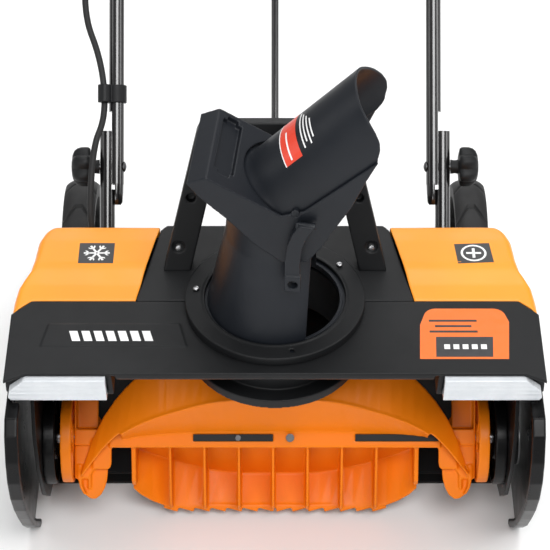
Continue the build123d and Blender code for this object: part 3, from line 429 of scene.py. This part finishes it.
def wheel(side):
    """One moulded wheel: a smooth tyre with thin arrow grooves, a dished web with seven ribs and a hub."""
    tag = "left" if side < 0 else "right"
    low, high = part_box("wheel_" + tag)
    middle, half, r = (low + high) / 2, (high.x - low.x) / 2, (high.z - low.z) / 2
    across = [k / 16 for k in range(-16, 17)]
    rows = []
    for k in range(308):
        turn = 2 * math.pi * k / 308
        rib = math.cos(7 * turn) > 0.93
        web = half * (0.45 if rib else 0.12)
        row = [(-half, r * 0.21), (-half * 0.96, r * 0.085), (half * 0.96, r * 0.085), (half, r * 0.21),
               (web, r * 0.23), (web, r * 0.74), (half * 0.8, r * 0.77), (half * 0.97, r * 0.79)]
        for x in across[::-1]:
            crown = r - 0.006 * abs(x) ** 3.2 - 0.0025 * groove(x, turn, 2 * math.pi / 11) * (abs(x) < 0.97)
            row.append((x * half, min(crown, r)))
        row += [(-half * 0.97, r * 0.79), (-half * 0.8, r * 0.77), (-web, r * 0.74), (-web, r * 0.23)]
        rows.append(row)
    crease_shade(piece("wheel_body_" + tag, lathed(rows, middle), RUBBER, "wheel_" + tag[0],
                       ("wheel_" + tag,)), 40)


def knob(side):
    """One clamp knob: a waisted stem and six soft lobes under a domed face."""
    tag = "left" if side < 0 else "right"
    low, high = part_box("knob_" + tag)
    middle, r = (low + high) / 2, (high.z - low.z) / 2
    inner, outer = (low.x, high.x) if side > 0 else (high.x, low.x)
    length = outer - inner
    # Share of the length, share of the radius, and how far the lobes show there.
    profile = [(0.0, 0.0, 0), (0.0, 0.36, 0), (0.16, 0.33, 0), (0.27, 0.36, 0), (0.29, 0.7, 0.6),
               (0.33, 0.93, 1), (0.4, 0.99, 1), (0.5, 1.0, 1), (0.66, 0.99, 1), (0.8, 0.93, 1),
               (0.9, 0.82, 0.9), (0.97, 0.62, 0.5), (1.0, 0.34, 0), (1.0, 0.0, 0)]
    rows = []
    for k in range(96):
        lobe = 0.5 + 0.5 * math.cos(6 * 2 * math.pi * k / 96)
        dip = 0.2 * (1 - lobe ** 0.6)
        rows.append([(inner + t * length - middle.x, q * r * (1 - dip * share)) for t, q, share in profile])
    crease_shade(piece("knob_body_" + tag, lathed(rows, middle, closed=False), BLACK, "clamp_knob_" + tag[0],
                       ("knob_" + tag,)), 50)


for side in (-1, 1):
    wheel(side)
    knob(side)


# ---- bolts, screws and tube ends ----
def turns(n):
    """n angles evenly round a circle."""
    return [2 * math.pi * k / n for k in range(n)]


def skin(bm, rings):
    """Faces over closed rings of points, with a cap on each end."""
    rings = [[bm.verts.new(p) for p in ring] for ring in rings]
    for a, b in zip(rings, rings[1:]):
        for k in range(len(a)):
            j = (k + 1) % len(a)
            bm.faces.new((a[k], a[j], b[j], b[k]))
    bm.faces.new(rings[0][::-1])
    bm.faces.new(rings[-1])


def spun(name, parts, mat, body, stands_for=()):
    """Small turned parts in one mesh. Each is (start, end, profile), a profile of (share, radius in mm)."""
    bm = bmesh.new()
    for start, end, profile in parts:
        way = end - start
        across = way.orthogonal().normalized()
        other = way.normalized().cross(across)
        skin(bm, [[start + way * share + r * MM * (math.cos(t) * across + math.sin(t) * other)
                   for t in turns(24)] for share, r in profile])
    bmesh.ops.recalc_face_normals(bm, faces=bm.faces)
    crease_shade(piece(name, bm, mat, body, stands_for), 40)


SLOPE = math.radians(46)                  # the handle's rise from the ground
FOLD = (226, 300)                         # y and z of the handle's folds, in millimetres
TUBE_X = 179                              # the upper tubes' distance from the middle
BRACKET_LEAN = math.radians(18.8)
BRACKET_Y = 50                            # where the carrying bracket meets the covers
RING_SCREWS = 84                          # radius of the circle of screws in the clamp ring


def along(s, h=0.0, x=0.0):
    """A point s along the handle from the fold and h above its plane."""
    return at(x, FOLD[0] + s * math.cos(SLOPE) - h * math.sin(SLOPE),
              FOLD[1] + s * math.sin(SLOPE) + h * math.cos(SLOPE))


def fold_bolts():
    """Carriage bolts through the folds: low domed heads inside, shanks out to the knobs."""
    shank = [(0, 3.8), (1, 3.8)]
    dome = [(0, 0.6), (0.2, 3.2), (0.55, 5.2), (0.85, 6.0), (1, 6.0)]
    parts = []
    for s in (-1, 1):
        parts += [(along(0, 0, s * 167.6), along(0, 0, s * 170.6), dome),
                  (along(0, 0, s * 170.6), along(0, 0, s * 221.5), shank)]
    spun("fold_bolt_pair", parts, DARK_STEEL, "frame", ("fold_bolts",))


def tube_tails():
    """The pressed lower ends of the upper tubes, which run on below the fold."""
    bm = bmesh.new()
    for s in (-1, 1):
        skin(bm, [[along(run, r * math.sin(t), s * (TUBE_X + min(r * math.cos(t), 1.2))) for t in turns(24)]
                  for run, r in ((-18, 8.2), (-30, 7.8), (-40, 7.0), (-43, 5.0))])
    bmesh.ops.recalc_face_normals(bm, faces=bm.faces)
    crease_shade(piece("tube_tails", bm, TUBE, "handle"), 50)


def on_bracket(x, y, z):
    """A point given in the carrying bracket's own upright plane, before it leans back on the covers."""
    c, s = math.cos(BRACKET_LEAN), math.sin(BRACKET_LEAN)
    return at(x, BRACKET_Y + y * c + z * s, COVER_Z / MM + z * c - y * s)


def small_screws():
    """Pan-head screws in the ring, and at the foot of each carrying bracket leg."""
    pan = [(0, 2.2), (0.3, 2.3), (0.6, 3.3), (0.85, 3.0), (1, 1.8)]
    parts = []
    for a in (35, 125, 173):
        x, y = RING_SCREWS * math.cos(math.radians(a)), RING_SCREWS * math.sin(math.radians(a))
        parts.append((at(x, y, 309.6), at(x, y, 313), pan))
    for s in (-1, 1):
        parts.append((on_bracket(s * 103, 4.4, 26), on_bracket(s * 103, 0.9, 26), pan))
    spun("screw_heads", parts, STEEL, "frame", ("cover_screws",))


fold_bolts()
tube_tails()
small_screws()


# ---- printed and stuck-on marks, all of them plain graphics ----
def flat_mat(name, colour, rough=0.35):
    """A printed or stuck-on film."""
    mat, tree, bsdf = nodes_of(name)
    where = put(tree, "ShaderNodeTexCoord").outputs["Object"]
    cloud = noise(tree, where, 120, 4).outputs[0]
    dark = tuple(c * 0.9 for c in colour)
    tree.links.new(mix(tree, cloud, dark, colour), bsdf.inputs["Base Color"])
    tree.links.new(ramp(tree, cloud, 0.3, 0.7, rough * 0.8, rough * 1.2), bsdf.inputs["Roughness"])
    fine = noise(tree, where, 1600, 2).outputs[0]
    bump = put(tree, "ShaderNodeBump", {"Height": fine, "Strength": 0.2, "Distance": 0.00002})
    tree.links.new(bump.outputs[0], bsdf.inputs["Normal"])
    return mat


WHITE_INK = flat_mat("white_ink", (0.86, 0.86, 0.86))
GREY_FILM = flat_mat("dark_film", (0.03, 0.03, 0.032))
ORANGE_FILM = flat_mat("orange_film", (0.85, 0.17, 0.02))
RED_FILM = flat_mat("red_film", (0.72, 0.05, 0.02))


def marks(name, shapes, surface, mat, body, thick=0.12):
    """Thin raised prints: outlines in millimetres, laid on a surface given by a function of two numbers."""
    bm = bmesh.new()
    for outline in shapes:
        n = len(outline)
        low_ring = [bm.verts.new(surface(a, b, 0.0)) for a, b in outline]
        top_ring = [bm.verts.new(surface(a, b, thick)) for a, b in outline]
        bm.faces.new(top_ring)
        bm.faces.new(low_ring[::-1])
        for i in range(n):
            j = (i + 1) % n
            bm.faces.new((low_ring[i], low_ring[j], top_ring[j], top_ring[i]))
    bmesh.ops.recalc_face_normals(bm, faces=bm.faces)
    return piece(name, bm, mat, body)


def on_cover(lift):
    """Plan places on the covers' flat top."""
    return lambda x, y, t: at(x, y, COVER_Z / MM + lift + t)


def on_shroud(lift):
    """Plan places on the shrouds' crowned top."""
    return lambda x, y, t: at(x, y, curve_through(SHROUD_TOP, y) + lift + t)


def bar(x, y, w, h, slant=0.0):
    """A parallelogram outline round a centre."""
    return [(x - w / 2 - slant, y - h / 2), (x + w / 2 - slant, y - h / 2), (x + w / 2 + slant, y + h / 2),
            (x - w / 2 + slant, y + h / 2)]


def arc(cx, cy, r, a0, a1, n=8):
    """Points along an arc between two angles in degrees."""
    return [(cx + r * math.cos(math.radians(a0 + (a1 - a0) * k / n)),
             cy + r * math.sin(math.radians(a0 + (a1 - a0) * k / n))) for k in range(n + 1)]


def ring_parts(cx, cy, r, w, n=20):
    """A ring as short four-cornered strips."""
    out = []
    for k in range(n):
        a, b = 2 * math.pi * k / n, 2 * math.pi * (k + 1) / n
        corners = ((r - w, a), (r, a), (r, b), (r - w, b))
        out.append([(cx + q * math.cos(t), cy + q * math.sin(t)) for q, t in corners])
    return out


def flake(cx, cy, r, w):
    """A plain six-armed snow crystal."""
    out = []
    for k in range(6):
        c, s = math.cos(math.pi / 3 * k), math.sin(math.pi / 3 * k)

        def turn(a, b, c=c, s=s):
            return (cx + a * c - b * s, cy + a * s + b * c)
        out.append([turn(1, -w / 2), turn(r, -w / 2), turn(r, w / 2), turn(1, w / 2)])
        for sign in (-1, 1):
            out.append([turn(r * 0.5, 0), turn(r * 0.5 + w, 0), turn(r * 0.75 + w, sign * r * 0.28),
                        turn(r * 0.75, sign * r * 0.28)])
    return out


marks("mark_bars", [bar(-208 + 12.6 * k, -51.5, 8.6, 15, -2) for k in range(7)], on_cover(1.05), WHITE_INK,
      "frame")
ARCH = ([(149.1, -84.7), (240.6, -84.7), (244.8, -29.3)] + arc(229, -22, 13, 12, 90)
        + arc(169, -22, 13, 90, 168) + [(151.5, -33.8)])
marks("rating_film", [ARCH], on_cover(0.02), ORANGE_FILM, "frame", 0.2)
marks("rating_window", [[(166, -81.7), (224.6, -81.7), (226.4, -52), (167.2, -52)]], on_cover(0.23),
      GREY_FILM, "frame", 0.1)
marks("rating_lines", [bar(186, -44 + 8.2 * k, 50 - 12 * (k % 2), 3.0) for k in range(3)], on_cover(0.23),
      GREY_FILM, "frame", 0.08)
marks("rating_dashes", [bar(178 + 9.5 * k, -66.8, 6, 7) for k in range(5)], on_cover(0.34), WHITE_INK,
      "frame", 0.08)
for name, quad in (("left", [(-211.3, 90.1), (-173.3, 90.1), (-173.6, 56), (-211.3, 56)]),
                   ("right", [(196.2, 55.6), (234.9, 57.6), (231.8, 90.1), (193.8, 88.4)])):
    marks("tip_film_" + name, [quad], on_shroud(0.05), GREY_FILM, "frame", 0.12)
marks("tip_flake", flake(-192, 73, 14, 2.4), on_shroud(0.2), WHITE_INK, "frame", 0.08)
marks("tip_ring", ring_parts(214, 73, 14, 2.4) + [bar(214, 73, 3, 16), bar(214, 73, 16, 3)], on_shroud(0.2),
      WHITE_INK, "frame", 0.08)

TURN = Matrix.Rotation(CHUTE_TURN, 3, "Z")
SPOUT_TILT = math.radians(43.8)
SPOUT_X, SPOUT_Z = 34.6, 477.2            # where the spout's axis starts, in the chute's own frame
SPOUT_TALL, SPOUT_WIDE = 55, 52           # radii of the spout, up and sideways
SPOUT_GROWS = 0.065                       # how much taller it gets along its axis


def on_spout(lift):
    """A place on the spout's outer skin: s along its axis, and the angle round it from the top."""
    def place(s, angle, t):
        a = math.radians(angle)
        tall = SPOUT_TALL + SPOUT_GROWS * s + lift + t
        c, n = math.cos(SPOUT_TILT), math.sin(SPOUT_TILT)
        up, out = tall * math.cos(a), (SPOUT_WIDE + lift + t) * math.sin(a)
        return at(*(TURN @ Vector((SPOUT_X + s * c - up * n, out, SPOUT_Z + s * n + up * c))))
    return place


def wrapped(s0, s1, a0, a1, steps=10):
    """Strips that follow the round of the spout."""
    angles = [a0 + (a1 - a0) * k / steps for k in range(steps + 1)]
    return [[(s0, p), (s1, p), (s1, q), (s0, q)] for p, q in zip(angles, angles[1:])]


# ---- the spout and the hood ----
AXIS = Vector((math.cos(SPOUT_TILT), 0, math.sin(SPOUT_TILT)))
RISE = Vector((-math.sin(SPOUT_TILT), 0, math.cos(SPOUT_TILT)))
# The spout's two ends seen from the side, as x and z in the chute's own frame.
MOUTH = [(86, 505), (91, 515), (96, 525), (100.5, 535), (104.8, 545), (106.8, 555), (106, 565), (101, 575),
         (93.5, 585), (84.5, 595), (78.3, 605), (74, 614), (60, 700)]
ROOT = [(30, 451), (-140, 549)]


def reach(line, angle):
    """How far along the spout's axis a line seen from the side cuts its skin at an angle from the top."""
    flat = [Vector((x - SPOUT_X, 0, z - SPOUT_Z)) for x, z in line]
    flat = [(p.dot(AXIS), p.dot(RISE)) for p in flat]
    share = math.cos(math.radians(angle))
    gaps = [h - (SPOUT_TALL + SPOUT_GROWS * s) * share for s, h in flat]
    for (s0, _), (s1, _), g0, g1 in zip(flat, flat[1:], gaps, gaps[1:]):
        if g0 <= 0 <= g1:
            return s0 + (s1 - s0) * -g0 / (g1 - g0)
    return flat[0][0]


def spout():
    """The half pipe the snow leaves by, with a rolled lip round its mouth and a skirt inside the hood."""
    wide, wall = 97, 2.6
    angles = [-wide + 2 * wide * k / 72 for k in range(73)]
    shares = [k / 30 for k in range(31)]
    outside, inside = on_spout(0), on_spout(-wall)
    bm = bmesh.new()
    rows = []
    for a in angles:
        past = max(0, abs(a) - 90)
        root, lip = reach(ROOT, a), reach(MOUTH, min(90, abs(a))) - 0.35 * past ** 2
        flare = 4.5 * max(0, math.cos(math.radians(a))) ** 0.7
        face = [outside(root + (lip - root) * t, a, flare * max(0, 1 - t / 0.07) ** 1.5) for t in shares]
        back = [inside(root + (lip - root) * t, a, 0) for t in shares[::-1]]
        rows.append([bm.verts.new(p) for p in face + back])
    for one, two in zip(rows, rows[1:]):
        for i in range(len(one)):
            j = (i + 1) % len(one)
            bm.faces.new((one[i], one[j], two[j], two[i]))
    bm.faces.new(rows[0])
    bm.faces.new(rows[-1][::-1])
    bmesh.ops.recalc_face_normals(bm, faces=bm.faces)
    obj = piece("spout_shell", bm, CHUTE, "deflector", ("spout",))
    round_edges(obj, 0.0007, 2, 50)
    crease_shade(obj, 35)


def chute_prism(name, outline, y0, y1):
    """A block that follows an outline seen from the chute's side. Millimetres in the chute's own frame."""
    bm = bmesh.new()
    ends = []
    for y in (y0, y1):
        ends.append([bm.verts.new(at(*(TURN @ Vector((x, y, z))))) for x, z in outline])
    bm.faces.new(ends[0])
    bm.faces.new(ends[1][::-1])
    for i in range(len(outline)):
        j = (i + 1) % len(outline)
        bm.faces.new((ends[0][j], ends[0][i], ends[1][i], ends[1][j]))
    bmesh.ops.recalc_face_normals(bm, faces=bm.faces)
    mesh = bpy.data.meshes.new(name)
    bm.to_mesh(mesh)
    bm.free()
    obj = bpy.data.objects.new(name, mesh)
    bpy.context.scene.collection.objects.link(obj)
    return obj


def hood():
    """The hood with the long finger pocket pressed into its lid, and every edge softened."""
    shape = bpy.data.objects.new("hood_blank", NODES["chute_hood"].data.copy())
    bpy.context.scene.collection.objects.link(shape)
    under = [(-61.5, 501.3), (-34.5, 485.8), (-31, 491.9), (-58, 507.4)]
    floor = chute_prism("pocket_floor", under, -43, 52.5)
    pocket = chute_prism("pocket", [(-59.5, 503.7), (-41, 493), (-36, 501.7), (-54.5, 512.4)], -33, 45)
    ends = chute_prism("pocket_ends", [(-55.5, 501.4), (-45, 495.3), (-40, 504), (-50.5, 510.1)], -39, 51)
    weld = shape.modifiers.new("weld", "WELD")
    weld.merge_threshold = 0.00001
    for other, kind in ((floor, "UNION"), (pocket, "DIFFERENCE"), (ends, "DIFFERENCE")):
        cut = shape.modifiers.new(other.name, "BOOLEAN")
        cut.object = other
        cut.operation = kind
        cut.solver = "EXACT"
    soften(shape, 0.8, 7)
    bpy.context.view_layer.update()
    mesh = bpy.data.meshes.new_from_object(shape.evaluated_get(bpy.context.evaluated_depsgraph_get()))
    for old in (shape, floor, pocket, ends):
        bpy.data.objects.remove(old)
    obj = piece("hood_shell", mesh, CHUTE, "chute", ("chute_hood",))
    for face in obj.data.polygons:
        face.use_smooth = True


spout()
hood()
marks("spout_band", wrapped(12, 35, -43, 20), on_spout(0.05), RED_FILM, "deflector", 0.12)
marks("spout_band_line", wrapped(21, 23, -40, -4), on_spout(0.2), WHITE_INK, "deflector",
      0.08)
marks("spout_edge_line", wrapped(12, 13.2, -43, 20), on_spout(0.2), WHITE_INK, "deflector",
      0.08)
dashes = [wrapped(41 + 4.5 * k, 42.6 + 4.5 * k, -38 + 5 * (k % 2), 12 - 7 * k) for k in range(4)]
marks("spout_dashes", sum(dashes, []), on_spout(0.05), WHITE_INK, "deflector", 0.08)


# ---- the lead down the left tube ----
def spline_of(name, points, radius):
    """A soft line through a route in metres, round if it has a radius."""
    data = bpy.data.curves.new(name, "CURVE")
    data.dimensions = "3D"
    data.resolution_u = 12
    line = data.splines.new("NURBS")
    line.points.add(len(points) - 1)
    for slot_point, p in zip(line.points, points):
        slot_point.co = (*p, 1)
    line.order_u = 3
    line.use_endpoint_u = True
    if radius:
        data.bevel_depth = radius
        data.bevel_resolution = 5
        data.use_fill_caps = True
    return data


UPPER_LEAD = [along(880, -24.2, 40), along(880, -36, 40), along(850, -36, -120), along(760, -22, -186),
              along(640, 0, -194.5), along(330, 9, -194), along(185, 12, -221), along(110, 9, -192),
              along(72, 9, -192)]
LOWER_LEAD = [along(72, 9, -192), along(52, 9, -192), along(20, 33, -203), along(-62, 33, -207),
              at(-200, 150, 256), at(-200, 150, 238.6)]


def route_length(points):
    """Length in metres of the soft line through a route, and its points."""
    data = spline_of("probe", points, 0)
    probe = bpy.data.objects.new("probe", data)
    bpy.context.scene.collection.objects.link(probe)
    bpy.context.view_layer.update()
    mesh = bpy.data.meshes.new_from_object(probe.evaluated_get(bpy.context.evaluated_depsgraph_get()))
    path = [v.co.copy() for v in mesh.vertices]
    bpy.data.objects.remove(probe)
    bpy.data.meshes.remove(mesh)
    return sum((b - a).length for a, b in zip(path, path[1:])), path


def tube_round(path, radius, around=14):
    """A closed tube mesh along points."""
    bm = bmesh.new()
    rings, side_way = [], Vector((1, 0, 0))
    for i, p in enumerate(path):
        way = (path[min(i + 1, len(path) - 1)] - path[max(i - 1, 0)]).normalized()
        side_way = (side_way - way * side_way.dot(way)).normalized()
        up = way.cross(side_way)
        rings.append([p + radius * (math.cos(t) * side_way + math.sin(t) * up) for t in turns(around)])
    skin(bm, rings)
    for f in bm.faces:
        f.smooth = True
    return bm


LEAD_R = 0.0036
upper_length, _ = route_length(UPPER_LEAD)
upper_lead = bpy.data.objects.new("lead_upper", spline_of("lead_upper", UPPER_LEAD, LEAD_R))
bpy.context.scene.collection.objects.link(upper_lead)
upper_lead.data.materials.append(RUBBER)
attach(upper_lead, "handle")
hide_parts("cable_upper")
lower_length, lower_path = route_length(LOWER_LEAD)
lower_mesh = bpy.data.meshes.new("lead_lower")
tube_round(lower_path, LEAD_R).to_mesh(lower_mesh)
lower_lead = bpy.data.objects.new("lead_lower", lower_mesh)
bpy.context.scene.collection.objects.link(lower_lead)
lower_mesh.materials.append(RUBBER)
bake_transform(lower_lead)
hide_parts("cable_lower")
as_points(lower_path)


# ---- camera, floor and lights ----
def aim(obj, target):
    """Turns a lamp to face a point."""
    obj.rotation_euler = (Vector(target) - obj.location).to_track_quat("-Z", "Y").to_euler()


def make_camera():
    """The picture's view: level sideways, looking down at the machine from in front."""
    data = bpy.data.cameras.new("camera")
    data.sensor_width = 36
    data.lens = 149.236
    data.clip_end = 50
    cam = bpy.data.objects.new("camera", data)
    cam.location = at(0, -1763.795, 1937.583)
    cam.rotation_euler = (math.radians(90 - 42.17229), 0, 0)
    bpy.context.scene.collection.objects.link(cam)
    bpy.context.scene.camera = cam


def area(name, where, target, size, power):
    """A white rectangular lamp that faces a point."""
    data = bpy.data.lights.new(name, "AREA")
    data.shape = "RECTANGLE"
    data.size, data.size_y = size
    data.energy = power
    obj = bpy.data.objects.new(name, data)
    obj.location = where
    aim(obj, target)
    bpy.context.scene.collection.objects.link(obj)


def make_stage():
    """A pale floor just under the wheels, and an even white sky."""
    mesh = bpy.data.meshes.new("floor")
    half = 6.0
    corners = [(-half, -half, 0), (half, -half, 0), (half, half, 0), (-half, half, 0)]
    mesh.from_pydata(corners, [], [(0, 1, 2, 3)])
    floor = bpy.data.objects.new("floor", mesh)
    floor.location.z = -0.0006
    bpy.context.scene.collection.objects.link(floor)
    mat, tree, bsdf = nodes_of("pale_floor")
    bsdf.inputs["Base Color"].default_value = (0.93, 0.93, 0.93, 1)
    bsdf.inputs["Roughness"].default_value = 0.7
    mesh.materials.append(mat)
    world = bpy.data.worlds.new("studio")
    bpy.context.scene.world = world
    world.use_nodes = True
    world.node_tree.nodes["Background"].inputs[0].default_value = (1, 1, 1, 1)
    world.node_tree.nodes["Background"].inputs[1].default_value = 0.36


bpy.context.scene.view_settings.view_transform = "Standard"
make_camera()
make_stage()
area("key", (0.5, -2.3, 3.1), (0, -0.3, 0.2), (2.0, 1.2), 74)
area("fill", (-1.2, -3.0, 1.3), (0, -0.35, 0.2), (1.4, 1.0), 20)
area("top", (0.3, 0.5, 3.0), (0, -0.2, 0.3), (2.4, 1.6), 44)
area("right", (2.4, -0.6, 1.5), (0, -0.3, 0.3), (1.0, 1.4), 16)
area("left", (-2.4, -0.4, 1.5), (0, -0.3, 0.3), (1.0, 1.4), 8)
area("back", (0.0, 2.2, 1.5), (0, 0.0, 0.5), (2.0, 0.9), 14)
